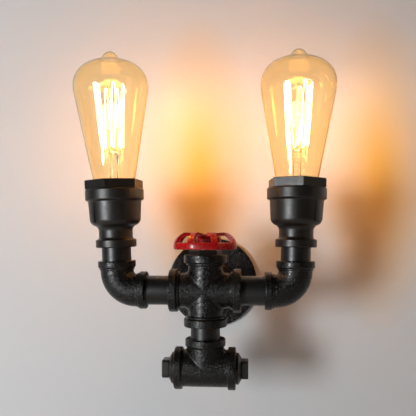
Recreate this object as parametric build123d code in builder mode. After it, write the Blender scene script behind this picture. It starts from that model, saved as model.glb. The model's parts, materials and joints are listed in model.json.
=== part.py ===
from build123d import *
import os
from math import acos, cos, pi, radians, sin, tan

# Industrial pipe wall light: a wall flange carries a five-way cross; two arms turn up at elbows into
# bell reducers, each with a lampholder, a hexagon bushing and a squirrel-cage lamp, base down. A plugged
# tee hangs below the cross and a red valve handwheel turns on top of it.
#
# Millimetres. X is to the right, Z is up, and Y goes into the wall. The origin is the centre of the
# flange's screw circle, on the wall's surface.

os.makedirs("parts", exist_ok=True)

# ---------------------------------------------------------------- driving sizes: pipes and fittings
PIPE_OD = 25.0
PIPE_BORE = 20.0
THREAD_GRIP = 8.5  # length of a nipple or plug inside its fitting
THREAD_GAP = 0.08  # radial room between a nipple and its socket
PIPE_CHAMFER = 0.8
SOFT_EDGE = 1.0  # rounding of the cast collars
BROAD_EDGE = 1.5  # rounding of the widest rims
HEX_CHAMFER = 0.5

FLANGE_D = 90.0
FLANGE_T = 6.0
FLANGE_HUB_D = 38.0
FLANGE_H = 18.0  # wall to the face of the hub
FLANGE_ROOT = 4.0  # fillet where the hub meets the plate
SCREW_PCD = 68.0
SCREW_COUNT = 4
SCREW_TURN = 45.0  # the first screw, from +X
SCREW_HOLE_D = 6.5
SCREW_HEAD_D = 11.5
RECESS_D = 36.0  # wiring recess in the back of the flange
RECESS_DEPTH = 5.0
EARTH_BLIND = 1.0  # iron left in front of the earth screw

CROSS_REACH = 30.5  # centre to the face of each outlet
CROSS_BODY_D = 29.4
CROSS_COLLAR_D = 36.8
CROSS_COLLAR_W = 7.0
CROSS_BEAD_D = 32.4  # the low ring behind each collar
CROSS_THROAT = 4.0  # cast radius in the corners between the legs

ELBOW_REACH = 25.5
ELBOW_BEND = 16.7  # radius of the bend's centre line
ELBOW_BODY_D = 28.4
ELBOW_COLLAR_D = 32.3
ELBOW_COLLAR_W = 6.0
ELBOW_BEAD_D = 30.0

TEE_REACH = 25.6  # centre to the branch face
TEE_HALF_RUN = 25.9
TEE_BODY_D = 31.4
TEE_COLLAR_D = 36.0
TEE_COLLAR_W = 6.5
TEE_BRANCH_COLLAR_D = 34.4
TEE_THROAT = 3.0
BEAD_W = 2.0
BEAD_EDGE = 0.7
LEG_STEP = 0.1  # each later leg of a fitting is slimmer in radius by this, so the legs meet on one line

WALL_NIPPLE_SHOWN = 46.5
ARM_SHOWN = 20.0
RISER_SHOWN = 11.5
DROP_SHOWN = 10.2
COLUMN_SPLAY = {"left": 1.6, "right": 0.9}  # degrees by which each riser stands off plumb, outwards
COLUMN_LEAN = {"left": 1.7, "right": 0.0}  # and towards the front

# ---------------------------------------------------------------- driving sizes: plugs
PLUG_FLANGE_D = 26.5
PLUG_FLANGE_T = 2.4
PLUG_CONE_H = 2.8
PLUG_NECK_D = 17.0
PLUG_SQUARE = 15.3
PLUG_SQUARE_H = 5.5
PLUG_CORNER = 2.5
PLUG_WALL = 3.0  # wall of the hollow shank

TOP_HEX_AF = 25.2
TOP_HEX_H = 4.0
TOP_HEX_TURN = 15.5  # a corner of the hexagon, from +X towards +Y

# ---------------------------------------------------------------- driving sizes: reducers and bushings
REDUCER_SMALL_COLLAR_D = 34.8
REDUCER_SMALL_COLLAR_H = 6.8
REDUCER_NECK_D = 28.8
REDUCER_NECK_H = 7.2
REDUCER_SHOULDER_H = 10.4
REDUCER_HOLLOW = 0.45  # share of the shoulder's S-curve that is hollow
REDUCER_NECK_ROOT = 2.2
REDUCER_CUP_D = 43.5  # at the foot of the cup
REDUCER_CUP_TOP_D = 45.3
REDUCER_CUP_H = 15.5
REDUCER_COLLAR_D = 50.0
REDUCER_COLLAR_H = 10.1
REDUCER_SEAT_H = 19.0  # from the small end to the ledge inside
RIB_W = 2.4
RIB_PROUD = 1.1
RIB_L = 17.5
RIB_TURN = {"left": 39.2, "right": 45.1}  # from -Y, towards the far side of each arm

BUSHING_AF = 43.8
BUSHING_HEAD_H = 7.5
BUSHING_SPIGOT_D = 40.5
BUSHING_SPIGOT_L = 9.0
BUSHING_BORE = 37.2
BUSHING_TURN = {"left": -93.7, "right": -83.1}  # a corner of the hexagon, from +X

# ---------------------------------------------------------------- driving sizes: lampholders
HOLDER_D = 38.8
HOLDER_FOOT_D = 31.2
HOLDER_SLEEVE_D = 36.4
HOLDER_SLEEVE_H = 8.6
HOLDER_FLOOR = 3.5
HOLDER_GAP = 0.2  # radial room of the ceramic in the cup
SHELL_T = 0.5
SHELL_TOP_GAP = 1.0  # the shell ends this far below the sleeve's top
CAP_PLAY = 0.3  # radial room of a lamp's cap in the screw shell
LEAF_H = 2.5
LEAF_W = 5.0
LEAF_T = 0.6
TERMINAL_R = 5.2  # lamp axis to each terminal
TERMINAL_HEAD_D = 5.0
TERMINAL_HEAD_H = 2.0
TERMINAL_D = 2.6

# ---------------------------------------------------------------- driving sizes: lamps
LAMP_L = 142.0
LAMP_PLAY = 0.3  # room between a screwed-in lamp and its centre contact
CAP_D = 26.5
CAP_L = 27.0
CAP_WALL = 0.5
NECK_IN_CAP = 6.0
SEAT_GAP = 0.05
CONTACT_D = 9.5
CONTACT_H = 1.2
INSULATOR_H = 3.2
GLOBE_D = 64.0
GLASS_T = 0.8
GLASS_NECK_D = 25.0
FLARE_D = 36.8  # end of the neck's outward curve
FLARE_H = 34.5  # its height above the contact
SHOULDER_D = 60.5  # end of the straight flank
SHOULDER_DROP = 42.8  # its depth below the lamp's top
EQUATOR_DROP = 29.6
KNUCKLE_R = 20.2  # where the globe turns over
CROWN_R = 45.0
TIP_R = 7.2  # the sealed-off tip, a hollow bubble on the crown
TIP_ROOT = 3.5

STEM_PRESS_H = 55.0  # top of the flat press above the contact
STEM_TOP_DROP = 27.0  # top of the stem's rod below the lamp's top
STEM_D = 7.0
STEM_GAP = 0.3
PRESS_L = 9.0
PRESS_W = 9.0
PRESS_T = 3.2
LOW_BUTTON_H = 57.8
ROD_D = 2.6
BUTTON_D = 5.0
FILAMENT_D = 0.6
FILAMENT_LEGS = 14
BRIDGE = 0.2  # half of a bridge between legs, as a share of their spacing
FILAMENT_LOW_H = 60.5
FILAMENT_TOP_DROP = 28.9
FILAMENT_LOW_R = 9.0
FILAMENT_HIGH_R = 11.7
SUPPORT_D = 0.5
SUPPORT_ARCH = 1.6
LEAD_X = 1.4

# ---------------------------------------------------------------- driving sizes: handwheel
WHEEL_D = 55.8
WHEEL_LIFT = 4.5  # from the face of the cross to the rim's underside
WHEEL_H = 14.4
RIM_H = 6.2
RIM_T = 4.2
WHEEL_LEAN = 0.6  # the rim leans in by this at its top
RIM_WAVE = 0.6  # depth of the rim's hollows
SPOKE_T = 3.2
SPOKE_W = 5.2
SPOKE_TURN = 22.0  # one spoke, from -Y towards +X
SPOKES = 8
DOME_IN = 0.378  # a point of the dome between rim and crest, as shares of the way
DOME_UP = 0.61
DOME_LEAN = 41.0  # the dome's outward normal there, above level
WINDOW_INSET = 3.7  # from the hub's wall to the windows
WINDOW_CORNER = 1.2
CREST_R = 17.5  # where the spokes are highest
WHEEL_HUB_D = 15.0
HUB_DROP = 1.7  # the hub's top below the crest of the spokes
HUB_RECESS_D = 10.5
HUB_RECESS_DEPTH = 2.6
JOURNAL_D = 8.0
JOURNAL_GAP = 0.05
STEM_SHOULDER_D = 12.0
STEM_SHOULDER_H = 3.0
WHEEL_FLOAT = 0.3  # end play of the wheel on its stem
STEM_THREAD_L = 6.0
WASHER_D = 9.4
WASHER_T = 0.8
SCREW_D = 3.0
SCREW_L = 8.0
SCREW_CAP_D = 6.6
SCREW_CAP_H = 2.0
SLOT_W = 1.0

# ---------------------------------------------------------------- driving sizes: wiring
WIRE_D = 2.2
WIRE_BEND = 3.5
EARTH_BEND = 1.5
SPLICE_D = 6.6
SPLICE_WALL = 0.55
SPLICE_L = 17.0
SPLICE_END = 4.4  # the closed end of a splice cap
SPLICE_TOP = -9.0  # mouth of the splice caps, from the arms' axis
SPLICE_PITCH = 7.4
WIRE_IN_SPLICE = 4.0
RING_D = 6.4
RING_T = 0.8
RING_BARREL_L = 6.0
WIRE_GAP = 0.3  # between wires side by side
WIRE_DROP = 2.0  # straight run below a lampholder's terminal
WIRE_FAN = 8.0  # height over which the wires then draw together
WIRE_CLEAR = 1.3  # where the neutral crosses over the live
WALL_GAP = 0.4  # from the wall to the supply wires' ends

# ---------------------------------------------------------------- places that follow from the sizes
SOCKET_R = PIPE_OD / 2 + THREAD_GAP
EARTH_SCREW_L = FLANGE_H - THREAD_GRIP - RECESS_DEPTH - EARTH_BLIND
STANDOFF = FLANGE_H + WALL_NIPPLE_SHOWN + CROSS_REACH
LAMP_X = CROSS_REACH + ARM_SHOWN + ELBOW_REACH
TEE_Z = -(CROSS_REACH + DROP_SHOWN + TEE_REACH)
REDUCER_Z = ELBOW_REACH + RISER_SHOWN
CUP_TOP = (
    REDUCER_Z + REDUCER_SMALL_COLLAR_H + REDUCER_NECK_H + REDUCER_SHOULDER_H + REDUCER_CUP_H
)
BUSHING_Z = CUP_TOP + REDUCER_COLLAR_H
SEAT_Z = REDUCER_Z + REDUCER_SEAT_H
CUP_FLOOR_Z = CUP_TOP - REDUCER_CUP_H
SPIGOT_Z = BUSHING_Z - BUSHING_SPIGOT_L
FLOOR_Z = SEAT_Z + HOLDER_FLOOR
SLEEVE_TOP = SPIGOT_Z + HOLDER_SLEEVE_H
SHELL_R = CAP_D / 2 + CAP_PLAY
LAMP_Z = FLOOR_Z + LEAF_H + LAMP_PLAY
WHEEL_Z = CROSS_REACH + WHEEL_LIFT
HUB_TOP = WHEEL_Z + WHEEL_H - HUB_DROP
CENTRE = (0, -STANDOFF, 0)
SIDES = {"left": -1, "right": 1}


def leg_plane(origin, direction):
    """A plane at a fitting's centre, facing out along one of its legs."""
    return Plane(origin=origin, z_dir=direction)


def lamp_plane(side, height):
    """A plane across the left or right column's axis, with X to the right, its height along that axis."""
    splay = SIDES[side] * tan(radians(COLUMN_SPLAY[side]))
    up = Vector(splay, -tan(radians(COLUMN_LEAN[side])), 1).normalized()
    corner = Vector(SIDES[side] * LAMP_X, -STANDOFF, 0)
    return Plane(origin=corner + up * height, x_dir=Vector(up.Z, 0, -up.X), z_dir=up)


def half_plane(base):
    """The plane through a cross plane's X and its axis, for half outlines, with its Y along the axis."""
    return Plane(origin=base.origin, x_dir=base.x_dir, z_dir=base.x_dir.cross(base.z_dir))


def rings(part, radius):
    """The circular edges of one radius."""
    return part.edges().filter_by(GeomType.CIRCLE).filter_by(lambda e: abs(e.radius - radius) < 1e-4)


def band(face, collar_d, collar_w, bead_d):
    """A fitting's end collar and the low bead behind it, grown back from the outlet's face."""
    for diameter, width in ((collar_d, collar_w), (bead_d, collar_w + BEAD_W)):
        with BuildSketch(face) as ring:
            Circle(diameter / 2)
        extrude(ring.sketch, amount=-width)


def save(builder, name):
    """Label a finished piece and write its STEP file."""
    builder.part.label = name
    export_step(builder.part, f"parts/{name}.step")


# ---------------------------------------------------------------- wall flange and its earth terminal
WALL = Plane(origin=(0, 0, 0), x_dir=(1, 0, 0), z_dir=(0, -1, 0))

with BuildPart() as wall_flange:
    with BuildSketch(WALL):
        Circle(FLANGE_D / 2)
    extrude(amount=FLANGE_T)
    with BuildSketch(WALL.offset(FLANGE_T)):
        Circle(FLANGE_HUB_D / 2)
    extrude(amount=FLANGE_H - FLANGE_T)
    root = rings(wall_flange, FLANGE_HUB_D / 2).sort_by(Axis.Y)[-1]
    fillet(root, FLANGE_ROOT)
    fillet(rings(wall_flange, FLANGE_HUB_D / 2).sort_by(Axis.Y)[0], SOFT_EDGE)
    fillet(rings(wall_flange, FLANGE_D / 2).sort_by(Axis.Y)[0], BROAD_EDGE)
    with BuildSketch(WALL.offset(FLANGE_H)):
        Circle(SOCKET_R)
    extrude(amount=-THREAD_GRIP, mode=Mode.SUBTRACT)
    with BuildSketch(WALL):
        Circle(PIPE_BORE / 2)
    extrude(amount=FLANGE_H, mode=Mode.SUBTRACT)
    with BuildSketch(WALL):
        Circle(RECESS_D / 2)
    extrude(amount=RECESS_DEPTH, mode=Mode.SUBTRACT)
    with Locations(WALL.offset(FLANGE_T)):
        with PolarLocations(SCREW_PCD / 2, SCREW_COUNT, start_angle=SCREW_TURN):
            CounterSinkHole(SCREW_HOLE_D / 2, SCREW_HEAD_D / 2, depth=FLANGE_T)
    with BuildSketch(WALL.offset(RECESS_DEPTH)):
        with Locations((-(PIPE_BORE + RECESS_D) / 4, 0)):
            Circle(SCREW_D / 2 + THREAD_GAP)
    extrude(amount=EARTH_SCREW_L, mode=Mode.SUBTRACT)
save(wall_flange, "wall_flange")

RING_FACE = Plane(
    origin=(-(PIPE_BORE + RECESS_D) / 4, -RECESS_DEPTH, 0), x_dir=(1, 0, 0), z_dir=(0, 1, 0)
)
RING_END = RING_D / 2 + RING_BARREL_L

with BuildPart() as earth_terminal:
    with BuildSketch(RING_FACE):
        Circle(RING_D / 2)
        with Locations((RING_END / 2, 0)):
            Rectangle(RING_END, RING_D / 2)
        Circle(SCREW_D / 2 + THREAD_GAP, mode=Mode.SUBTRACT)
    extrude(amount=RING_T)
save(earth_terminal, "earth_terminal")

with BuildPart() as earth_screw:
    with BuildSketch(RING_FACE.offset(RING_T)):
        Circle(SCREW_CAP_D / 2)
    extrude(amount=SCREW_CAP_H)
    with BuildSketch(RING_FACE.offset(RING_T)):
        Circle(SCREW_D / 2)
    extrude(amount=-RING_T - EARTH_SCREW_L)
save(earth_screw, "earth_screw")

# ---------------------------------------------------------------- pipe nipples
def nipple_plane(name):
    """Where a nipple starts, facing along it, and how much of it shows between its fittings."""
    side = SIDES["left" if name.endswith("left") else "right"]
    inside = CROSS_REACH - THREAD_GRIP
    if name == "wall_nipple":
        return leg_plane((0, THREAD_GRIP - FLANGE_H, 0), (0, -1, 0)), WALL_NIPPLE_SHOWN
    if name == "drop_nipple":
        return leg_plane((0, -STANDOFF, -inside), (0, 0, -1)), DROP_SHOWN
    if name.startswith("arm"):
        return leg_plane((side * inside, -STANDOFF, 0), (side, 0, 0)), ARM_SHOWN
    return lamp_plane(name.split("_")[-1], ELBOW_REACH - THREAD_GRIP), RISER_SHOWN


NIPPLES = ["wall_nipple", "drop_nipple"]
NIPPLES += [f"{kind}_nipple_{side}" for kind in ("arm", "riser") for side in SIDES]
for name in NIPPLES:
    start, shown = nipple_plane(name)
    with BuildPart() as nipple:
        with BuildSketch(start):
            Circle(PIPE_OD / 2)
            Circle(PIPE_BORE / 2, mode=Mode.SUBTRACT)
        extrude(amount=shown + 2 * THREAD_GRIP)
        chamfer(rings(nipple, PIPE_OD / 2), PIPE_CHAMFER)
    save(nipple, name)

# ---------------------------------------------------------------- five-way cross
CROSS_LEGS = [(1, 0, 0), (-1, 0, 0), (0, 0, 1), (0, 0, -1), (0, 1, 0)]

with BuildPart() as cross_fitting:
    for direction, step, both in (((1, 0, 0), 0, True), ((0, 0, 1), 1, True), ((0, 1, 0), 2, False)):
        with BuildSketch(leg_plane(CENTRE, direction)):
            Circle(CROSS_BODY_D / 2 - step * LEG_STEP)
        extrude(amount=CROSS_REACH, both=both)
    fillet(cross_fitting.edges().filter_by(GeomType.BSPLINE), CROSS_THROAT)
    for direction in CROSS_LEGS:
        band(leg_plane(CENTRE, direction).offset(CROSS_REACH), CROSS_COLLAR_D, CROSS_COLLAR_W, CROSS_BEAD_D)
    fillet(rings(cross_fitting, CROSS_COLLAR_D / 2), SOFT_EDGE)
    fillet(rings(cross_fitting, CROSS_BEAD_D / 2), BEAD_EDGE)
    for step in range(3):
        fillet(rings(cross_fitting, CROSS_BODY_D / 2 - step * LEG_STEP), BEAD_EDGE)
    for direction in CROSS_LEGS:
        with BuildSketch(leg_plane(CENTRE, direction)):
            Circle(PIPE_BORE / 2)
        extrude(amount=CROSS_REACH, mode=Mode.SUBTRACT)
        with BuildSketch(leg_plane(CENTRE, direction).offset(CROSS_REACH)):
            Circle(SOCKET_R)
        extrude(amount=-THREAD_GRIP, mode=Mode.SUBTRACT)
save(cross_fitting, "cross_fitting")

# ---------------------------------------------------------------- elbows
for side, out in SIDES.items():
    foot = Vector(out * (LAMP_X - ELBOW_REACH), -STANDOFF, 0)
    corner = Vector(out * LAMP_X, -STANDOFF, 0)
    upper = lamp_plane(side, ELBOW_REACH)
    faces = [leg_plane(foot, (-out, 0, 0)), upper]
    with BuildPart() as elbow:
        with BuildLine() as bend:
            FilletPolyline(foot, corner, upper.origin, radius=ELBOW_BEND)
        with BuildSketch(leg_plane(foot, (out, 0, 0))):
            Circle(ELBOW_BODY_D / 2)
        sweep(path=bend.line)
        for face in faces:
            band(face, ELBOW_COLLAR_D, ELBOW_COLLAR_W, ELBOW_BEAD_D)
        fillet(rings(elbow, ELBOW_COLLAR_D / 2), SOFT_EDGE)
        fillet(rings(elbow, ELBOW_BEAD_D / 2), BEAD_EDGE)
        with BuildSketch(leg_plane(foot, (out, 0, 0))):
            Circle(PIPE_BORE / 2)
        sweep(path=bend.line, mode=Mode.SUBTRACT)
        for face in faces:
            with BuildSketch(face):
                Circle(SOCKET_R)
            extrude(amount=-THREAD_GRIP, mode=Mode.SUBTRACT)
    save(elbow, f"elbow_{side}")

# ---------------------------------------------------------------- tee and its plugs
TEE_CENTRE = (0, -STANDOFF, TEE_Z)
TEE_LEGS = [
    ((1, 0, 0), TEE_HALF_RUN, TEE_COLLAR_D),
    ((-1, 0, 0), TEE_HALF_RUN, TEE_COLLAR_D),
    ((0, 0, 1), TEE_REACH, TEE_BRANCH_COLLAR_D),
]

with BuildPart() as tee_fitting:
    with BuildSketch(leg_plane(TEE_CENTRE, (1, 0, 0))):
        Circle(TEE_BODY_D / 2)
    extrude(amount=TEE_HALF_RUN, both=True)
    with BuildSketch(leg_plane(TEE_CENTRE, (0, 0, 1))):
        Circle(TEE_BODY_D / 2 - LEG_STEP)
    extrude(amount=TEE_REACH)
    fillet(tee_fitting.edges().filter_by(GeomType.BSPLINE), TEE_THROAT)
    for direction, reach, collar in TEE_LEGS:
        with BuildSketch(leg_plane(TEE_CENTRE, direction).offset(reach - TEE_COLLAR_W)):
            Circle(collar / 2)
        extrude(amount=TEE_COLLAR_W)
        fillet(rings(tee_fitting, collar / 2), SOFT_EDGE)
    for step in range(2):
        fillet(rings(tee_fitting, TEE_BODY_D / 2 - step * LEG_STEP), SOFT_EDGE)
    for direction, reach, _ in TEE_LEGS:
        with BuildSketch(leg_plane(TEE_CENTRE, direction)):
            Circle(PIPE_BORE / 2)
        extrude(amount=reach, mode=Mode.SUBTRACT)
        with BuildSketch(leg_plane(TEE_CENTRE, direction).offset(reach)):
            Circle(SOCKET_R)
        extrude(amount=-THREAD_GRIP, mode=Mode.SUBTRACT)
save(tee_fitting, "tee_fitting")

for side, out in SIDES.items():
    mouth = Plane(origin=(out * TEE_HALF_RUN, -STANDOFF, TEE_Z), x_dir=(0, 1, 0), z_dir=(out, 0, 0))
    with BuildPart() as tee_plug:
        with BuildSketch(mouth):
            Circle(PIPE_OD / 2)
        extrude(amount=-THREAD_GRIP)
        with BuildSketch(mouth):
            Circle(PLUG_FLANGE_D / 2)
        extrude(amount=PLUG_FLANGE_T)
        with BuildSketch(mouth.offset(PLUG_FLANGE_T)):
            Circle(PLUG_FLANGE_D / 2)
        with BuildSketch(mouth.offset(PLUG_FLANGE_T + PLUG_CONE_H)):
            Circle(PLUG_NECK_D / 2)
        loft()
        with BuildSketch(mouth.offset(PLUG_FLANGE_T + PLUG_CONE_H)):
            RectangleRounded(PLUG_SQUARE, PLUG_SQUARE, PLUG_CORNER)
        extrude(amount=PLUG_SQUARE_H)
        fillet(tee_plug.faces().sort_by(Axis.X)[-1 if out > 0 else 0].edges(), SOFT_EDGE)
        with BuildSketch(mouth.offset(-THREAD_GRIP)):
            Circle(PIPE_OD / 2 - PLUG_WALL)
        extrude(amount=THREAD_GRIP - PLUG_WALL, mode=Mode.SUBTRACT)
    save(tee_plug, f"tee_plug_{side}")

# ---------------------------------------------------------------- bell reducers and hexagon bushings
for side, out in SIDES.items():
    foot = lamp_plane(side, REDUCER_Z)
    axis = Axis(foot.origin, foot.z_dir)
    with BuildPart() as reducer:
        with BuildSketch(half_plane(foot)):
            with BuildLine():
                neck_r = REDUCER_NECK_D / 2
                cup_r = REDUCER_CUP_D / 2
                neck_top = Vector(neck_r, REDUCER_SMALL_COLLAR_H + REDUCER_NECK_H)
                cup_foot = Vector(cup_r, CUP_FLOOR_Z - REDUCER_Z)
                turn = neck_top + (cup_foot - neck_top) * REDUCER_HOLLOW
                Polyline(
                    (0, 0),
                    (REDUCER_SMALL_COLLAR_D / 2, 0),
                    (REDUCER_SMALL_COLLAR_D / 2, REDUCER_SMALL_COLLAR_H),
                    (neck_r, REDUCER_SMALL_COLLAR_H),
                    neck_top,
                )
                hollow = TangentArc(neck_top, turn, tangent=(0, 1))
                TangentArc(turn, cup_foot, tangent=hollow % 1)
                Polyline(
                    cup_foot,
                    (REDUCER_CUP_TOP_D / 2, CUP_TOP - REDUCER_Z),
                    (REDUCER_COLLAR_D / 2, CUP_TOP - REDUCER_Z),
                    (REDUCER_COLLAR_D / 2, BUSHING_Z - REDUCER_Z),
                    (0, BUSHING_Z - REDUCER_Z),
                    (0, 0),
                )
            make_face()
        revolve(axis=axis)
        fillet(rings(reducer, REDUCER_SMALL_COLLAR_D / 2), SOFT_EDGE)
        fillet(rings(reducer, REDUCER_COLLAR_D / 2), BROAD_EDGE)
        fillet(rings(reducer, REDUCER_CUP_TOP_D / 2), SOFT_EDGE)
        fillet(rings(reducer, neck_r).sort_by(axis)[0], REDUCER_NECK_ROOT)
        with BuildSketch(lamp_plane(side, CUP_TOP - RIB_L - SOFT_EDGE)):
            with PolarLocations(cup_r - RIB_W / 2, 2, start_angle=out * RIB_TURN[side] - 90):
                Rectangle(REDUCER_CUP_TOP_D / 2 - cup_r + RIB_PROUD + RIB_W, RIB_W)
        extrude(amount=RIB_L)
        for height, radius, depth in (
            (REDUCER_Z, PIPE_BORE / 2, REDUCER_SEAT_H),
            (REDUCER_Z, SOCKET_R, THREAD_GRIP),
            (SEAT_Z, HOLDER_FOOT_D / 2 + HOLDER_GAP, SPIGOT_Z - SEAT_Z),
            (CUP_FLOOR_Z, HOLDER_D / 2 + HOLDER_GAP, SPIGOT_Z - CUP_FLOOR_Z),
            (SPIGOT_Z, BUSHING_SPIGOT_D / 2 + THREAD_GAP, BUSHING_SPIGOT_L),
        ):
            with BuildSketch(lamp_plane(side, height)):
                Circle(radius)
            extrude(amount=depth, mode=Mode.SUBTRACT)
    save(reducer, f"reducer_{side}")

    with BuildPart() as hex_bushing:
        with BuildSketch(lamp_plane(side, BUSHING_Z)):
            RegularPolygon(BUSHING_AF / 2, 6, major_radius=False, rotation=BUSHING_TURN[side])
        extrude(amount=BUSHING_HEAD_H)
        chamfer(hex_bushing.edges().group_by(axis)[-1], HEX_CHAMFER)
        with BuildSketch(lamp_plane(side, BUSHING_Z)):
            Circle(BUSHING_SPIGOT_D / 2)
        extrude(amount=-BUSHING_SPIGOT_L)
        with BuildSketch(lamp_plane(side, SPIGOT_Z)):
            Circle(BUSHING_BORE / 2)
        extrude(amount=BUSHING_SPIGOT_L + BUSHING_HEAD_H, mode=Mode.SUBTRACT)
    save(hex_bushing, f"hex_bushing_{side}")

# ---------------------------------------------------------------- lampholders
for side in SIDES:
    floor = lamp_plane(side, FLOOR_Z)
    with BuildPart() as lampholder_body:
        with BuildSketch(lamp_plane(side, SEAT_Z)):
            Circle(HOLDER_FOOT_D / 2)
        extrude(amount=SPIGOT_Z - SEAT_Z)
        with BuildSketch(lamp_plane(side, SPIGOT_Z)):
            Circle(HOLDER_D / 2)
        extrude(amount=CUP_FLOOR_Z + HOLDER_GAP - SPIGOT_Z)
        with BuildSketch(lamp_plane(side, SPIGOT_Z)):
            Circle(HOLDER_SLEEVE_D / 2)
        extrude(amount=HOLDER_SLEEVE_H)
        fillet(rings(lampholder_body, HOLDER_SLEEVE_D / 2).sort_by(Axis.Z)[-1], SOFT_EDGE)
        with BuildSketch(floor):
            Circle(SHELL_R + SHELL_T + THREAD_GAP)
        extrude(amount=SLEEVE_TOP - FLOOR_Z, mode=Mode.SUBTRACT)
        with BuildSketch(lamp_plane(side, SEAT_Z)):
            with Locations((0, TERMINAL_R), (0, -TERMINAL_R)):
                Circle(TERMINAL_D / 2 + THREAD_GAP)
        extrude(amount=HOLDER_FLOOR, mode=Mode.SUBTRACT)
    save(lampholder_body, f"lampholder_body_{side}")

    with BuildPart() as terminal_screws:
        with BuildSketch(lamp_plane(side, SEAT_Z)):
            with Locations((0, TERMINAL_R), (0, -TERMINAL_R)):
                Circle(TERMINAL_HEAD_D / 2)
        extrude(amount=-TERMINAL_HEAD_H)
        with BuildSketch(lamp_plane(side, SEAT_Z)):
            with Locations((0, TERMINAL_R), (0, -TERMINAL_R)):
                Circle(TERMINAL_D / 2)
        extrude(amount=HOLDER_FLOOR)
    save(terminal_screws, f"terminal_screws_{side}")

    with BuildPart() as screw_shell:
        with BuildSketch(floor):
            Circle(SHELL_R + SHELL_T)
            Circle(SHELL_R, mode=Mode.SUBTRACT)
        extrude(amount=SLEEVE_TOP - SHELL_TOP_GAP - FLOOR_Z)
        with BuildSketch(floor):
            tab_end = TERMINAL_R - TERMINAL_HEAD_D / 2
            tab_l = SHELL_R + SHELL_T / 2 - tab_end
            with Locations((0, -tab_end - tab_l / 2)):
                Rectangle(LEAF_W, tab_l)
        extrude(amount=SHELL_T)
    save(screw_shell, f"screw_shell_{side}")

    across = Plane(origin=floor.origin, x_dir=floor.y_dir, z_dir=floor.x_dir)
    with BuildPart() as centre_contact:
        with BuildSketch(across):
            with BuildLine():
                heel = TERMINAL_R - LEAF_T
                toe = -LEAF_W / 2
                Polyline(
                    (TERMINAL_R + LEAF_W / 2, 0),
                    (heel, 0),
                    (LEAF_W / 2 - LEAF_T, LEAF_H - LEAF_T),
                    (toe, LEAF_H - LEAF_T),
                    (toe, LEAF_H),
                    (LEAF_W / 2, LEAF_H),
                    (heel + LEAF_T, LEAF_T),
                    (TERMINAL_R + LEAF_W / 2, LEAF_T),
                    close=True,
                )
            make_face()
        extrude(amount=LEAF_W / 2, both=True)
    save(centre_contact, f"centre_contact_{side}")

# ---------------------------------------------------------------- lamps
LIP_H = CONTACT_H + INSULATOR_H
EQUATOR_H = LAMP_L - EQUATOR_DROP
STEM_TOP_H = LAMP_L - STEM_TOP_DROP
FILAMENT_HIGH_H = LAMP_L - FILAMENT_TOP_DROP
LIP_R = CAP_D / 2 - INSULATOR_H
STEM_FOOT = CAP_L - NECK_IN_CAP + GLASS_T


def envelope(inset, foot):
    """Half outline of the glass, drawn inside a BuildLine: the inner wall is the outer one, inset."""
    neck = GLASS_NECK_D / 2 - inset
    globe = GLOBE_D / 2 - inset
    knuckle = KNUCKLE_R - inset
    crown = CROWN_R - inset
    knuckle_x = GLOBE_D / 2 - KNUCKLE_R
    crown_h = EQUATOR_H - ((CROWN_R - KNUCKLE_R) ** 2 - knuckle_x**2) ** 0.5
    turn = acos(knuckle_x / (CROWN_R - KNUCKLE_R))
    flank_low = Vector(FLARE_D / 2 - inset, FLARE_H)
    flank_high = Vector(SHOULDER_D / 2 - inset, LAMP_L - SHOULDER_DROP)
    lean = flank_high - flank_low
    equator = Vector(globe, EQUATOR_H)
    meet = Vector(crown * cos(turn), crown_h + crown * sin(turn))
    half = Vector(knuckle_x + knuckle * cos(turn / 2), EQUATOR_H + knuckle * sin(turn / 2))
    crown_centre = Vector(0, crown_h)
    tip_centre = Vector(0, LAMP_L - TIP_R)
    span = tip_centre.Y - crown_h
    rise = ((CROWN_R + TIP_ROOT) ** 2 - (TIP_R + TIP_ROOT) ** 2 + span**2) / (2 * span)
    root_centre = Vector(((CROWN_R + TIP_ROOT) ** 2 - rise**2) ** 0.5, crown_h + rise)
    tip_foot = crown_centre + (root_centre - crown_centre).normalized() * crown
    tip_side = tip_centre + (root_centre - tip_centre).normalized() * (TIP_R - inset)
    Polyline((0, foot), (neck, foot), (neck, CAP_L))
    TangentArc(flank_low, (neck, CAP_L), tangent=lean * -1)
    Line(flank_low, flank_high)
    Spline(flank_high, equator, tangents=[lean, (0, 1)])
    ThreePointArc(equator, half, meet)
    RadiusArc(meet, tip_foot, -crown)
    RadiusArc(tip_foot, tip_side, TIP_ROOT + inset)
    RadiusArc(tip_side, (0, LAMP_L - inset), inset - TIP_R)
    Line((0, LAMP_L - inset), (0, foot))


def filament_point(turn, radius, height):
    """A point of the cage, its turn counted in legs."""
    angle = 2 * pi * turn / (FILAMENT_LEGS + 1) - pi / 2
    return (radius * cos(angle), radius * sin(angle), height)


def filament_route():
    """The one wire's corners: up and down the cage, with a short bridge at the end of each leg."""
    route = [filament_point(BRIDGE, FILAMENT_LOW_R, FILAMENT_LOW_H)]
    for leg in range(1, FILAMENT_LEGS + 1):
        high = leg % 2 == 1
        radius = FILAMENT_HIGH_R if high else FILAMENT_LOW_R
        height = FILAMENT_HIGH_H if high else FILAMENT_LOW_H
        route.append(filament_point(leg - BRIDGE, radius, height))
        if leg < FILAMENT_LEGS:
            route.append(filament_point(leg + BRIDGE, radius, height))
    return route


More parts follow.
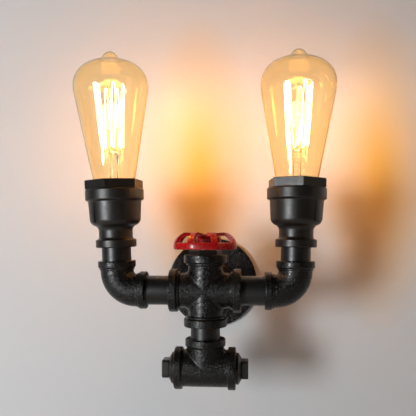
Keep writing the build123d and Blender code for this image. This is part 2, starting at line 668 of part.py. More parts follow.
for side in SIDES:
    base = lamp_plane(side, LAMP_Z)
    upright = half_plane(base)
    axis = Axis(base.origin, base.z_dir)

    with BuildPart() as bulb_contact:
        with BuildSketch(base):
            Circle(CONTACT_D / 2)
        extrude(amount=CONTACT_H)
        fillet(rings(bulb_contact, CONTACT_D / 2).sort_by(Axis.Z)[0], CONTACT_H / 2)
    save(bulb_contact, f"bulb_contact_{side}")

    with BuildPart() as cap_insulator:
        with BuildSketch(upright):
            with BuildLine():
                Polyline(
                    (0, CONTACT_H + SEAT_GAP),
                    (CONTACT_D / 2 + CAP_WALL, CONTACT_H + SEAT_GAP),
                    (LIP_R + CAP_WALL, LIP_H),
                    (LIP_R - SEAT_GAP, LIP_H),
                    (LIP_R - SEAT_GAP, LIP_H + 2 * CAP_WALL),
                    (0, LIP_H + 2 * CAP_WALL),
                    close=True,
                )
            make_face()
        revolve(axis=axis)
    save(cap_insulator, f"cap_insulator_{side}")

    with BuildPart() as bulb_cap:
        with BuildSketch(base.offset(LIP_H)):
            Circle(CAP_D / 2)
        extrude(amount=CAP_L - LIP_H)
        fillet(rings(bulb_cap, CAP_D / 2).sort_by(Axis.Z)[0], SOFT_EDGE)
        with BuildSketch(base.offset(LIP_H + CAP_WALL)):
            Circle(CAP_D / 2 - CAP_WALL)
        extrude(amount=CAP_L, mode=Mode.SUBTRACT)
        with BuildSketch(base.offset(LIP_H)):
            Circle(LIP_R)
        extrude(amount=CAP_WALL, mode=Mode.SUBTRACT)
    save(bulb_cap, f"bulb_cap_{side}")

    with BuildPart() as bulb_glass:
        with BuildSketch(upright):
            with BuildLine():
                envelope(0, CAP_L - NECK_IN_CAP)
            make_face()
        revolve(axis=axis)
        with BuildSketch(upright):
            with BuildLine():
                envelope(GLASS_T, CAP_L - NECK_IN_CAP - GLASS_T)
            make_face()
        revolve(axis=axis, mode=Mode.SUBTRACT)
    save(bulb_glass, f"bulb_glass_{side}")

    with BuildPart() as bulb_stem:
        with BuildSketch(upright):
            with BuildLine():
                rim = GLASS_NECK_D / 2 - GLASS_T - STEM_GAP
                tube = STEM_D / 2
                throat = STEM_FOOT + rim - tube
                Polyline((rim - GLASS_T, STEM_FOOT), (rim, STEM_FOOT), (rim, STEM_FOOT + GLASS_T))
                TangentArc((tube, throat), (rim, STEM_FOOT + GLASS_T), tangent=(0, -1))
                Polyline(
                    (tube, throat),
                    (tube, STEM_PRESS_H),
                    (0, STEM_PRESS_H),
                    (0, STEM_PRESS_H - PRESS_L),
                    (tube - GLASS_T, STEM_PRESS_H - PRESS_L),
                    (tube - GLASS_T, throat),
                )
                TangentArc((tube - GLASS_T, throat), (rim - GLASS_T, STEM_FOOT), tangent=(0, -1))
            make_face()
        revolve(axis=axis)
        with BuildSketch(base.offset(STEM_PRESS_H - PRESS_L)):
            RectangleRounded(PRESS_W, PRESS_T, PRESS_T / 3)
        extrude(amount=PRESS_L)
        with BuildSketch(base.offset(STEM_PRESS_H)):
            Circle(ROD_D / 2)
        extrude(amount=STEM_TOP_H - STEM_PRESS_H)
        for height in (LOW_BUTTON_H, STEM_TOP_H):
            with Locations(base.offset(height)):
                Sphere(BUTTON_D / 2)
    save(bulb_stem, f"bulb_stem_{side}")

    with BuildPart() as bulb_filament:
        with BuildLine(base) as cage:
            FilletPolyline(*filament_route(), radius=FILAMENT_D)
        with BuildSketch(Plane(origin=cage.line @ 0, z_dir=cage.line % 0)):
            RegularPolygon(FILAMENT_D / 2, 6)
        sweep(path=cage.line)
    save(bulb_filament, f"bulb_filament_{side}")

    with BuildPart() as filament_supports:
        for leg in range(1, FILAMENT_LEGS):
            high = leg % 2 == 1
            button = STEM_TOP_H if high else LOW_BUTTON_H
            reach = FILAMENT_HIGH_R if high else FILAMENT_LOW_R
            lift = (FILAMENT_D + SUPPORT_D) / 2 + SEAT_GAP
            height = FILAMENT_HIGH_H + lift if high else FILAMENT_LOW_H - lift
            arch = SUPPORT_ARCH if high else -SUPPORT_ARCH
            start = (BUTTON_D + SUPPORT_D) / 2
            with BuildLine(base) as hook:
                ThreePointArc(
                    filament_point(leg, start, button),
                    filament_point(leg, (start + reach) / 2, (button + height) / 2 + arch),
                    filament_point(leg, reach, height),
                )
            with BuildSketch(Plane(origin=hook.line @ 0, z_dir=hook.line % 0)):
                RegularPolygon(SUPPORT_D / 2, 6)
            sweep(path=hook.line)
    save(filament_supports, f"filament_supports_{side}")

    with BuildPart() as lead_in_wires:
        for end, turn in ((1, BRIDGE), (-1, FILAMENT_LEGS - BRIDGE)):
            tail = filament_point(turn, FILAMENT_LOW_R, FILAMENT_LOW_H - FILAMENT_D)
            for start, stop in (
                ((end * LEAD_X, 0, LIP_H + 2 * CAP_WALL), (end * LEAD_X, 0, STEM_PRESS_H - PRESS_L)),
                ((end * PRESS_W / 3, 0, STEM_PRESS_H + SUPPORT_D / 2), tail),
            ):
                with BuildLine(base) as lead:
                    Line(start, stop)
                with BuildSketch(Plane(origin=lead.line @ 0, z_dir=lead.line % 0)):
                    RegularPolygon(SUPPORT_D / 2, 6)
                sweep(path=lead.line)
    save(lead_in_wires, f"lead_in_wires_{side}")

# ---------------------------------------------------------------- handwheel, its plug and stem
top_face = Plane(origin=(0, -STANDOFF, CROSS_REACH))
plug_top = top_face.offset(TOP_HEX_H)
hub_foot = TOP_HEX_H + STEM_SHOULDER_H + WHEEL_FLOAT
hub_floor = HUB_TOP - HUB_RECESS_DEPTH - CROSS_REACH
stem_top = hub_floor + WHEEL_FLOAT

with BuildPart() as top_plug:
    with BuildSketch(top_face):
        RegularPolygon(TOP_HEX_AF / 2, 6, major_radius=False, rotation=TOP_HEX_TURN)
    extrude(amount=TOP_HEX_H)
    chamfer(top_plug.edges().group_by(Axis.Z)[-1], HEX_CHAMFER)
    with BuildSketch(top_face):
        Circle(PIPE_OD / 2)
    extrude(amount=-THREAD_GRIP)
    with BuildSketch(plug_top):
        Circle(JOURNAL_D / 2 + THREAD_GAP)
    extrude(amount=-(THREAD_GRIP + TOP_HEX_H), mode=Mode.SUBTRACT)
save(top_plug, "top_plug")

with BuildPart() as handwheel_stem:
    with BuildSketch(plug_top):
        Circle(JOURNAL_D / 2)
    extrude(amount=-STEM_THREAD_L)
    with BuildSketch(plug_top):
        Circle(STEM_SHOULDER_D / 2)
    extrude(amount=STEM_SHOULDER_H)
    with BuildSketch(plug_top.offset(STEM_SHOULDER_H)):
        Circle(JOURNAL_D / 2)
    extrude(amount=stem_top - TOP_HEX_H - STEM_SHOULDER_H)
    with BuildSketch(top_face.offset(stem_top)):
        Circle(SCREW_D / 2 + THREAD_GAP)
    extrude(amount=-SCREW_L, mode=Mode.SUBTRACT)
save(handwheel_stem, "handwheel_stem")

with BuildPart() as handwheel:
    with BuildSketch(half_plane(top_face.offset(WHEEL_LIFT))):
        with BuildLine():
            rim_r = WHEEL_D / 2
            hub_r = WHEEL_HUB_D / 2
            hub_h = HUB_TOP - WHEEL_Z
            lean = rim_r - WHEEL_LEAN
            dome = Vector(lean - DOME_IN * (lean - CREST_R), RIM_H + DOME_UP * (WHEEL_H - RIM_H))
            Polyline((rim_r - RIM_T, 0), (rim_r, 0), (lean, RIM_H))
            ThreePointArc((lean, RIM_H), dome, (CREST_R, WHEEL_H))
            TangentArc((CREST_R, WHEEL_H), (hub_r, hub_h), tangent=(-1, 0))
            Polyline((hub_r, hub_h), (0, hub_h), (0, hub_foot + CROSS_REACH - WHEEL_Z))
            Polyline(
                (0, hub_foot + CROSS_REACH - WHEEL_Z),
                (hub_r, hub_foot + CROSS_REACH - WHEEL_Z),
                (hub_r, hub_h - SPOKE_T),
                (CREST_R, WHEEL_H - SPOKE_T),
            )
            ThreePointArc(
                (CREST_R, WHEEL_H - SPOKE_T),
                dome - Vector(SPOKE_T, 0).rotate(Axis.Z, DOME_LEAN),
                (rim_r - RIM_T, RIM_H - SPOKE_T / 2),
            )
            Line((rim_r - RIM_T, RIM_H - SPOKE_T / 2), (rim_r - RIM_T, 0))
        make_face()
    revolve(axis=Axis((0, -STANDOFF, 0), (0, 0, 1)))
    with BuildSketch(Plane(origin=(0, -STANDOFF, WHEEL_Z))):
        with BuildLine():
            for lobe in range(SPOKES):
                for mid, depth in ((0, 0), (0.5, RIM_WAVE)):
                    points = [
                        (SPOKE_TURN - 90 + 360 / SPOKES * (lobe + mid + step), bulge)
                        for step, bulge in ((-0.25, RIM_WAVE / 2), (0, depth), (0.25, RIM_WAVE / 2))
                    ]
                    ThreePointArc(*[Vector(rim_r - bulge, 0).rotate(Axis.Z, at) for at, bulge in points])
        make_face()
    extrude(amount=WHEEL_H, mode=Mode.INTERSECT)
    with BuildSketch(Plane(origin=(0, -STANDOFF, WHEEL_Z + RIM_H))) as windows:
        Circle(WHEEL_D)
        Circle(hub_r + WINDOW_INSET, mode=Mode.SUBTRACT)
        with PolarLocations(0, SPOKES, start_angle=SPOKE_TURN):
            Rectangle(SPOKE_W, 2 * WHEEL_D, align=(Align.CENTER, Align.MAX), mode=Mode.SUBTRACT)
        inner = windows.vertices().sort_by_distance((0, -STANDOFF, WHEEL_Z + RIM_H))[: 2 * SPOKES]
        fillet(inner, WINDOW_CORNER)
    extrude(amount=WHEEL_H, mode=Mode.SUBTRACT)
    with BuildSketch(top_face.offset(stem_top)):
        Circle(JOURNAL_D / 2 + JOURNAL_GAP)
    extrude(amount=-stem_top, mode=Mode.SUBTRACT)
    with BuildSketch(top_face.offset(hub_floor)):
        Circle(HUB_RECESS_D / 2)
    extrude(amount=HUB_RECESS_DEPTH, mode=Mode.SUBTRACT)
save(handwheel, "handwheel")

with BuildPart() as handwheel_washer:
    with BuildSketch(top_face.offset(stem_top)):
        Circle(WASHER_D / 2)
        Circle(SCREW_D / 2 + THREAD_GAP, mode=Mode.SUBTRACT)
    extrude(amount=WASHER_T)
save(handwheel_washer, "handwheel_washer")

with BuildPart() as handwheel_screw:
    with BuildSketch(top_face.offset(stem_top + WASHER_T)):
        Circle(SCREW_CAP_D / 2)
    extrude(amount=SCREW_CAP_H)
    fillet(rings(handwheel_screw, SCREW_CAP_D / 2).sort_by(Axis.Z)[-1], SCREW_CAP_H / 3)
    with BuildSketch(top_face.offset(stem_top + WASHER_T)):
        Circle(SCREW_D / 2)
    extrude(amount=-SCREW_L)
    with BuildSketch(top_face.offset(stem_top + WASHER_T + SCREW_CAP_H)):
        Rectangle(SCREW_CAP_D, SLOT_W)
    extrude(amount=-SLOT_W, mode=Mode.SUBTRACT)
save(handwheel_screw, "handwheel_screw")

# ---------------------------------------------------------------- wiring inside the pipes
# Two conductors, live behind (+1) and neutral in front (-1). Each splice cap takes three wire ends.
CLUSTER_R = (WIRE_D + WIRE_GAP) / 3**0.5  # three wires side by side, centre to each wire


def wire(*points):
    """A round insulated wire along tangent bends, inside a BuildPart."""
    with BuildLine() as run:
        FilletPolyline(*points, radius=WIRE_BEND)
    with BuildSketch(Plane(origin=run.line @ 0, z_dir=run.line % 0)) as section:
        Circle(WIRE_D / 2)
    sweep(section.sketch, path=run.line)


def splice_y(pole):
    """The depth of a splice cap's axis in the cross."""
    return -STANDOFF + pole * SPLICE_PITCH / 2


for side, out in SIDES.items():
    with BuildPart() as lamp_lead:
        for pole in (1, -1):
            lead_y = splice_y(pole) - CLUSTER_R / 2
            near_x = out * CLUSTER_R * cos(radians(30))
            post = SEAT_Z - TERMINAL_HEAD_H
            in_column = [
                lamp_plane(side, height).from_local_coords((0, y))
                for y, height in (
                    (pole * TERMINAL_R, post),
                    (pole * TERMINAL_R, post - WIRE_DROP),
                    (lead_y + STANDOFF, post - WIRE_DROP - WIRE_FAN),
                )
            ]
            wire(
                *in_column,
                (out * LAMP_X, lead_y, 0),
                (near_x, lead_y, 0),
                (near_x, lead_y, SPLICE_TOP - WIRE_IN_SPLICE),
            )
    save(lamp_lead, f"lamp_lead_{side}")

with BuildPart() as supply_lead:
    for pole, height in ((1, 0), (-1, WIRE_D + WIRE_CLEAR)):
        drop_y = splice_y(pole) + CLUSTER_R
        wire((0, -WALL_GAP, height), (0, drop_y, height), (0, drop_y, SPLICE_TOP - WIRE_IN_SPLICE))
save(supply_lead, "supply_lead")

with BuildPart() as splice_caps:
    for pole in (1, -1):
        mouth = Plane(origin=(0, splice_y(pole), SPLICE_TOP))
        with BuildSketch(mouth):
            Circle(SPLICE_D / 2)
        extrude(amount=-SPLICE_L)
        with BuildSketch(mouth):
            Circle(SPLICE_D / 2 - SPLICE_WALL)
        extrude(amount=SPLICE_END - SPLICE_L, mode=Mode.SUBTRACT)
save(splice_caps, "splice_caps")

with BuildPart() as earth_lead:
    ring_x = RING_FACE.origin.X + RING_END
    turn_x = ring_x + WIRE_D
    lay_y = -RECESS_DEPTH + WIRE_D / 2
    with BuildLine() as run:
        FilletPolyline((ring_x, lay_y, 0), (turn_x, lay_y, 0), (turn_x, -WALL_GAP, 0), radius=EARTH_BEND)
    with BuildSketch(Plane(origin=run.line @ 0, z_dir=run.line % 0)):
        Circle(WIRE_D / 2)
    sweep(path=run.line)
save(earth_lead, "earth_lead")
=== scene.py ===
import json
from math import acos, asin, cos, pi, radians, sin

import bmesh
import bpy
from mathutils import Matrix, Vector


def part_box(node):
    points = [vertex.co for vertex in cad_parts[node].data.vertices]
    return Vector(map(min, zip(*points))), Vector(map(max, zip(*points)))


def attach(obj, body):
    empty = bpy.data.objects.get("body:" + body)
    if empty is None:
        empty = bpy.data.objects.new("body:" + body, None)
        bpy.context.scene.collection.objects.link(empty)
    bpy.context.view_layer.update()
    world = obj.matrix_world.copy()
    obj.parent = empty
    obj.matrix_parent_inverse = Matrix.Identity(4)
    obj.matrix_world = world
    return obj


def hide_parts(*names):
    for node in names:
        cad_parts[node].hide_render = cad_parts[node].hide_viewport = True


# Industrial pipe wall light: black iron pipe fittings, two amber squirrel-cage lamps, a red handwheel.
# Metres. X is to the right, Z is up, and Y goes into the wall, whose surface is at Y = 0.

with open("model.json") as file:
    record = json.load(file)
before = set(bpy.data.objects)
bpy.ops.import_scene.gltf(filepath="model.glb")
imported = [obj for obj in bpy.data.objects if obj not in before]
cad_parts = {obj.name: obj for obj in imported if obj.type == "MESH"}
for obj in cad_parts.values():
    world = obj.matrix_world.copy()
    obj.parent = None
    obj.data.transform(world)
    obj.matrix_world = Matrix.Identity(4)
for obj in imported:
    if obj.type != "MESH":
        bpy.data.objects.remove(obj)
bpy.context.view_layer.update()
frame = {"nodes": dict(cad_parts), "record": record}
SIDES = ("left", "right")

# ---------------------------------------------------------------- camera
CAMERA_PLACE = (0.0384, -0.5547, 0.0420)
CAMERA_YAW = radians(4.50)
CAMERA_LENS = 46.7
CAMERA_RISE = 0.080  # the photograph's frame sits this share of its width above the horizon


def make_camera():
    data = bpy.data.cameras.new("camera")
    data.lens = CAMERA_LENS
    data.shift_y = CAMERA_RISE
    data.clip_start = 0.01
    camera = bpy.data.objects.new("camera", data)
    camera.location = CAMERA_PLACE
    camera.rotation_euler = (radians(90), 0, CAMERA_YAW)
    bpy.context.scene.collection.objects.link(camera)
    bpy.context.scene.camera = camera


# ---------------------------------------------------------------- material helpers
NOISE_ROUGHNESS = 0.55


class Shader:
    """A material with a Principled shader and short ways to add nodes to it."""

    def __init__(self, name, **settings):
        self.material = bpy.data.materials.new(name)
        self.material.use_nodes = True
        self.tree = self.material.node_tree
        self.principled = self.tree.nodes["Principled BSDF"]
        for socket, value in settings.items():
            self.principled.inputs[socket.replace("_", " ")].default_value = value

    def node(self, kind, **settings):
        made = self.tree.nodes.new(f"ShaderNode{kind}")
        for key, value in settings.items():
            if hasattr(made, key):
                setattr(made, key, value)
            else:
                made.inputs[key.replace("_", " ")].default_value = value
        return made

    def link(self, source, target):
        self.tree.links.new(source, target)

    def noise(self, scale, detail=4.0):
        """Noise over object coordinates, with scale cells to a metre."""
        coordinates = self.node("TexCoord")
        noise = self.node("TexNoise", Scale=scale, Detail=detail, Roughness=NOISE_ROUGHNESS)
        self.link(coordinates.outputs["Object"], noise.inputs["Vector"])
        return noise.outputs["Fac"]

    def ramp(self, source, low, high, start=0.3, stop=0.7):
        """A value or colour that runs from low to high as the source goes from start to stop."""
        ramp = self.node("ValToRGB")
        for element, place, colour in zip(ramp.color_ramp.elements, (start, stop), (low, high)):
            element.position = place
            element.color = (*colour, 1) if isinstance(colour, tuple) else (colour, colour, colour, 1)
        self.link(source, ramp.inputs["Fac"])
        return ramp.outputs["Color"]

    def bump(self, source, depth, strength, under=None):
        """A bump of some metres' depth, over another one where that is given."""
        bump = self.node("Bump", Distance=depth, Strength=strength)
        self.link(source, bump.inputs["Height"])
        if under:
            self.link(under, bump.inputs["Normal"])
        return bump.outputs["Normal"]

    def colour(self, source):
        self.link(source, self.principled.inputs["Base Color"])

    def roughness(self, source):
        self.link(source, self.principled.inputs["Roughness"])

    def normal(self, source):
        self.link(source, self.principled.inputs["Normal"])


# ---------------------------------------------------------------- materials
PATCH_SHADE = 0.8


def cast_iron():
    """Sand-cast iron under matte black lacquer: fine grain over a slightly lumpy skin."""
    shader = Shader("cast_iron", Specular_IOR_Level=0.34)
    shader.colour(shader.ramp(shader.noise(90), (0.0014, 0.0012, 0.0010), (0.0045, 0.0037, 0.0030)))
    shader.roughness(shader.ramp(shader.noise(260, detail=6), 0.23, 0.37))
    sand = shader.ramp(shader.noise(620, detail=3), 0.0, 1.0, 0.5, 0.64)
    grain = shader.bump(sand, 0.00016, 0.8)
    shader.normal(shader.bump(shader.noise(300, detail=4), 0.00025, 0.5, under=grain))
    return shader.material


def satin_iron():
    """The same lacquer on turned and finer cast pieces."""
    shader = Shader("satin_iron", Specular_IOR_Level=0.46)
    shader.colour(shader.ramp(shader.noise(70), (0.0032, 0.0022, 0.0013), (0.0085, 0.0057, 0.0034)))
    shader.roughness(shader.ramp(shader.noise(330, detail=6), 0.33, 0.45))
    grain = shader.bump(shader.noise(1500, detail=3), 0.00007, 0.45)
    shader.normal(shader.bump(shader.noise(240, detail=3), 0.00012, 0.5, under=grain))
    return shader.material


def black_pipe():
    """Drawn pipe in satin black."""
    shader = Shader("black_pipe", Specular_IOR_Level=0.46)
    shader.colour(shader.ramp(shader.noise(60), (0.0014, 0.0014, 0.0013), (0.0040, 0.0039, 0.0037)))
    shader.roughness(shader.ramp(shader.noise(350, detail=5), 0.33, 0.43))
    shader.normal(shader.bump(shader.noise(900, detail=3), 0.00004, 0.4))
    return shader.material


def red_enamel():
    """Thick glossy red paint on a casting."""
    shader = Shader("red_enamel", Coat_Weight=0.2, Coat_Roughness=0.12, Specular_IOR_Level=0.35)
    shader.colour(shader.ramp(shader.noise(110), (0.22, 0.0022, 0.0022), (0.36, 0.004, 0.003)))
    shader.roughness(shader.ramp(shader.noise(400, detail=4), 0.22, 0.36))
    shader.normal(shader.bump(shader.noise(260, detail=2), 0.00018, 0.5))
    return shader.material


def metal(name, colour, low, high):
    """A bare metal, its roughness between low and high in patches."""
    shader = Shader(name, Metallic=1.0, Base_Color=(*colour, 1))
    shader.roughness(shader.ramp(shader.noise(500, detail=5), low, high))
    shader.normal(shader.bump(shader.noise(1200, detail=3), 0.00002, 0.4))
    return shader.material


def ceramic():
    """White glazed steatite."""
    shader = Shader("ceramic", Coat_Weight=0.5, Coat_Roughness=0.05)
    shader.colour(shader.ramp(shader.noise(200), (0.78, 0.75, 0.68), (0.86, 0.84, 0.79)))
    shader.roughness(shader.ramp(shader.noise(500), 0.18, 0.3))
    return shader.material


def plastic(name, colour):
    """One colour, darker in patches."""
    shader = Shader(name)
    shader.colour(shader.ramp(shader.noise(300), tuple(c * PATCH_SHADE for c in colour), colour))
    shader.roughness(shader.ramp(shader.noise(600), 0.38, 0.52))
    return shader.material


def glass(name, tint=None, density=0):
    """Blown glass: clear at its surfaces, and coloured by its depth if it has a density."""
    shader = Shader(name, Roughness=0.0, IOR=1.48, Transmission_Weight=1.0, Base_Color=(1, 1, 1, 1))
    if density:
        depth = shader.node("VolumeAbsorption", Color=(*tint, 1), Density=density)
        shader.link(depth.outputs["Volume"], shader.tree.nodes["Material Output"].inputs["Volume"])
    return shader.material


def glowing_filament():
    """Carbonised wire at full heat."""
    return Shader(
        "filament",
        Base_Color=(1.0, 0.6, 0.25, 1),
        Roughness=0.6,
        Emission_Color=(1.0, 0.68, 0.30, 1),
        Emission_Strength=18.0,
    ).material


# ---------------------------------------------------------------- pieces
def add_piece(name, data, body, slot, *replaced):
    """Link a mesh or curve as a piece of the light, with its slot's material."""
    data.materials.append(MATERIALS[slot])
    piece = bpy.data.objects.new(name, data)
    bpy.context.scene.collection.objects.link(piece)
    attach(piece, body)
    if replaced:
        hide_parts(*replaced)
    return piece


# ---------------------------------------------------------------- handwheel
wheel_low, wheel_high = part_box("handwheel")
WHEEL_CENTRE = Vector(((wheel_low.x + wheel_high.x) / 2, (wheel_low.y + wheel_high.y) / 2, wheel_low.z))
WHEEL_TOP = wheel_high.z - wheel_low.z
WHEEL_R = 0.0277
WHEEL_EDGE = 0.0006  # rounding of the casting's edges
WHEEL_WAVE = 0.0006  # depth of the rim's hollows between spokes
WHEEL_SKIN = 0.002  # what lies this near to the outer radius follows the hollows
WHEEL_RIM_H = 0.0060
WHEEL_RIM_T = 0.0034
RIM_INSIDE_H = 0.002  # top of the rim's straight inner face
RIM_OUTSIDE_H = 0.004  # top of its straight outer face
WHEEL_LEAN = 0.0005  # how far the rim has leaned in where the dome starts
WHEEL_CREST_R = 0.0188  # where the spokes are highest
WHEEL_SPOKE_T = 0.0027
WHEEL_SPOKE_W = 0.0050
WHEEL_SPOKES = 8
WHEEL_TURN = radians(22 - 90)  # one spoke, from +X
WHEEL_HUB_R = 0.0075
WHEEL_WEB_R = 0.0110  # where the windows start
WHEEL_HUB_DROP = 0.0017  # the hub's top below the crest
WHEEL_WEB_DIP = 0.6  # share of that drop reached where the windows start
WHEEL_RECESS_R = 0.0053
WHEEL_RECESS = 0.0026
WHEEL_BORE_R = 0.0041
WHEEL_FOOT = 0.0028  # the hub's foot above the rim's underside
DOME_POWER = 1.4  # 1 is an ellipse, and more is a flatter flank
DOME_TURNS = (0, 6, 18, 32, 46, 60, 75, 90)  # mesh rows from the rim up to the crest, in degrees
WEB_SHARES = (0.35, 0.7, 0.93, 1.0)  # and from the crest in to the web
SPOKE_SHARES = (-1, -0.8, 0, 0.8)  # mesh columns across a spoke, in half widths
WINDOW_SHARES = (0, 0.07, 0.3, 0.5, 0.7, 0.93)  # and across the window after it
SMOOTH_LEVELS = 2


def wheel_band():
    """Matching (radius, height) rows of the dome's outer and inner sides, from the rim to the web."""
    rise_out = WHEEL_TOP - WHEEL_RIM_H
    reach_out = WHEEL_R - WHEEL_LEAN - WHEEL_CREST_R
    rise_in = rise_out - WHEEL_SPOKE_T
    reach_in = reach_out - WHEEL_RIM_T + WHEEL_LEAN
    rows = []
    for turn in DOME_TURNS:
        run, rise = cos(radians(turn)) ** DOME_POWER, sin(radians(turn)) ** DOME_POWER
        outer = (WHEEL_CREST_R + reach_out * run, WHEEL_RIM_H + rise_out * rise)
        inner = (WHEEL_CREST_R + reach_in * run, WHEEL_RIM_H + rise_in * rise)
        rows.append((outer, inner))
    for share in WEB_SHARES:
        radius = WHEEL_CREST_R + share * (WHEEL_WEB_R - WHEEL_CREST_R)
        top = WHEEL_TOP - WHEEL_HUB_DROP * WHEEL_WEB_DIP * share**2
        rows.append(((radius, top), (radius, top - WHEEL_SPOKE_T)))
    return rows


def wheel_rim():
    """The rim's foot, from its inner face round to its outer face."""
    inside = WHEEL_R - WHEEL_RIM_T
    return [
        (inside, RIM_INSIDE_H),
        (inside, WHEEL_EDGE),
        (inside + WHEEL_EDGE, 0),
        (WHEEL_R - WHEEL_EDGE, 0),
        (WHEEL_R, WHEEL_EDGE),
        (WHEEL_R, RIM_OUTSIDE_H),
    ]


def wheel_hub():
    """The hub, from its top edge into the screw's recess, down the bore and up its outside."""
    top = WHEEL_TOP - WHEEL_HUB_DROP
    floor = top - WHEEL_RECESS
    return [
        (WHEEL_HUB_R, top),
        (WHEEL_RECESS_R + WHEEL_EDGE, top),
        (WHEEL_RECESS_R, top - WHEEL_EDGE),
        (WHEEL_RECESS_R, floor + WHEEL_EDGE),
        (WHEEL_RECESS_R - WHEEL_EDGE, floor),
        (WHEEL_BORE_R, floor),
        (WHEEL_BORE_R, WHEEL_FOOT),
        (WHEEL_HUB_R - WHEEL_EDGE, WHEEL_FOOT),
        (WHEEL_HUB_R, WHEEL_FOOT + WHEEL_EDGE),
        (WHEEL_HUB_R, top - WHEEL_SPOKE_T - WHEEL_EDGE),
    ]


def wheel_point(spoke, across, beyond, radius, height):
    """A point of the wheel: across its spoke in half widths, then beyond it as a share of the window."""
    pitch = 2 * pi / WHEEL_SPOKES
    half = asin(min(1, WHEEL_SPOKE_W / 2 / max(radius, WHEEL_WEB_R)))
    turn = WHEEL_TURN + spoke * pitch + across * half + beyond * (pitch - 2 * half)
    if radius > WHEEL_R - WHEEL_SKIN:
        radius -= WHEEL_WAVE / 2 * (1 - cos(WHEEL_SPOKES * (turn - WHEEL_TURN)))
    return WHEEL_CENTRE + Vector((radius * cos(turn), radius * sin(turn), height))


def make_handwheel():
    """The cast wheel: a wavy rim, a dome cut into spokes, and a hub with a recess for the screw."""
    band, rim, hub = wheel_band(), wheel_rim(), wheel_hub()
    outline = rim + [outer for outer, _ in band] + hub + [inner for _, inner in reversed(band)]
    out_rows = range(len(rim), len(rim) + len(band))
    in_rows = range(len(outline) - 1, len(outline) - 1 - len(band), -1)  # each faces one of out_rows

    columns = []  # spoke, place across it, place across the window after it
    for spoke in range(WHEEL_SPOKES):
        columns += [(spoke, share, 0) for share in SPOKE_SHARES]
        columns += [(spoke, 1, share) for share in WINDOW_SHARES]
    points = [wheel_point(*column, *place) for place in outline for column in columns]

    def corner(row, column):
        return row % len(outline) * len(columns) + column % len(columns)

    def strip(low, high, column):
        """The face between two rows, from one column to the next."""
        return [corner(low, column), corner(low, column + 1), corner(high, column + 1), corner(high, column)]

    faces = []
    for row in range(len(outline)):  # the skin, left open at the windows
        cut = row in out_rows[:-1] or row in in_rows[1:]
        faces += [strip(row, row + 1, k) for k, (_, across, _) in enumerate(columns) if not cut or across != 1]
    for rows in zip(out_rows, out_rows[1:], in_rows[1:], in_rows):  # the sides of the spokes
        for k, (_, across, beyond) in enumerate(columns):
            side = [corner(row, k) for row in rows]
            if across == 1 and beyond == 0:
                faces.append(side)
            elif across == -1:
                faces.append(side[::-1])
    for out_row, in_row, order in ((out_rows[0], in_rows[0], 1), (out_rows[-1], in_rows[-1], -1)):
        faces += [strip(out_row, in_row, k)[::order] for k, (_, across, _) in enumerate(columns) if across == 1]

    mesh = bpy.data.meshes.new("handwheel_casting")
    mesh.from_pydata(points, [], faces)
    mesh.shade_smooth()
    wheel = add_piece("handwheel_casting", mesh, "wheel", "red_enamel", "handwheel")
    smooth = wheel.modifiers.new("smooth", "SUBSURF")
    smooth.levels = smooth.render_levels = SMOOTH_LEVELS


# ---------------------------------------------------------------- wall screws
SCREW_COUNT = 4
SCREW_RING_R = 0.034
SCREW_FIRST = 45  # degrees from +X
SCREW_HEAD_R = 0.0054
SCREW_HEAD_H = 0.0040
SCREW_RIM = 0.0014  # depth of the head's straight rim
SCREW_SHANK_R = 0.0030
SCREW_SLOT = 0.0012
SCREW_SLOT_DEPTH = 0.0010
SCREW_SLOT_FIRST, SCREW_SLOT_STEP = 25, 70  # how each slot stands, in degrees
SCREW_SINK = 0.0003  # the head below the flange's face
SCREW_SIDES = 40
FLANGE_T = 0.006  # the flange's thickness


def make_wall_screws():
    """Slotted countersunk screws in the flange's holes: a cone with its shank, and two halves beside the slot."""
    rest = acos(SCREW_SLOT / 2 / SCREW_HEAD_R)
    whole = [2 * pi * k / SCREW_SIDES for k in range(SCREW_SIDES)]
    upper, lower = (
        [middle + rest * (2 * k / SCREW_SIDES - 1) for k in range(SCREW_SIDES + 1)] for middle in (pi / 2, -pi / 2)
    )
    cone = [
        (SCREW_HEAD_R, SCREW_SLOT_DEPTH),
        (SCREW_HEAD_R, SCREW_RIM),
        (SCREW_SHANK_R, SCREW_HEAD_H),
        (SCREW_SHANK_R, FLANGE_T - SCREW_SINK),
    ]
    beside_slot = [(SCREW_HEAD_R, 0), (SCREW_HEAD_R, SCREW_SLOT_DEPTH)]
    for number in range(SCREW_COUNT):
        bm = bmesh.new()
        for turns, rings in ((whole, cone), (upper, beside_slot), (lower, beside_slot)):
            rows = [[bm.verts.new((far * cos(a), deep, far * sin(a))) for a in turns] for far, deep in rings]
            bm.faces.new(rows[0])
            bm.faces.new(rows[-1])
            for low, high in zip(rows, rows[1:]):
                for k, after in enumerate([*range(1, len(turns)), 0]):
                    bm.faces.new((low[k], low[after], high[after], high[k]))
        bmesh.ops.recalc_face_normals(bm, faces=bm.faces)
        at = radians(SCREW_FIRST + 360 / SCREW_COUNT * number)
        slot = Matrix.Rotation(radians(SCREW_SLOT_FIRST + SCREW_SLOT_STEP * number), 4, "Y")
        place = Vector((SCREW_RING_R * cos(at), -FLANGE_T + SCREW_SINK, SCREW_RING_R * sin(at)))
        bm.transform(Matrix.Translation(place) @ slot)
        mesh = bpy.data.meshes.new(f"wall_screw_{number + 1}")
        bm.to_mesh(mesh)
        bm.free()
        add_piece(f"wall_screw_{number + 1}", mesh, "frame", "satin_iron")


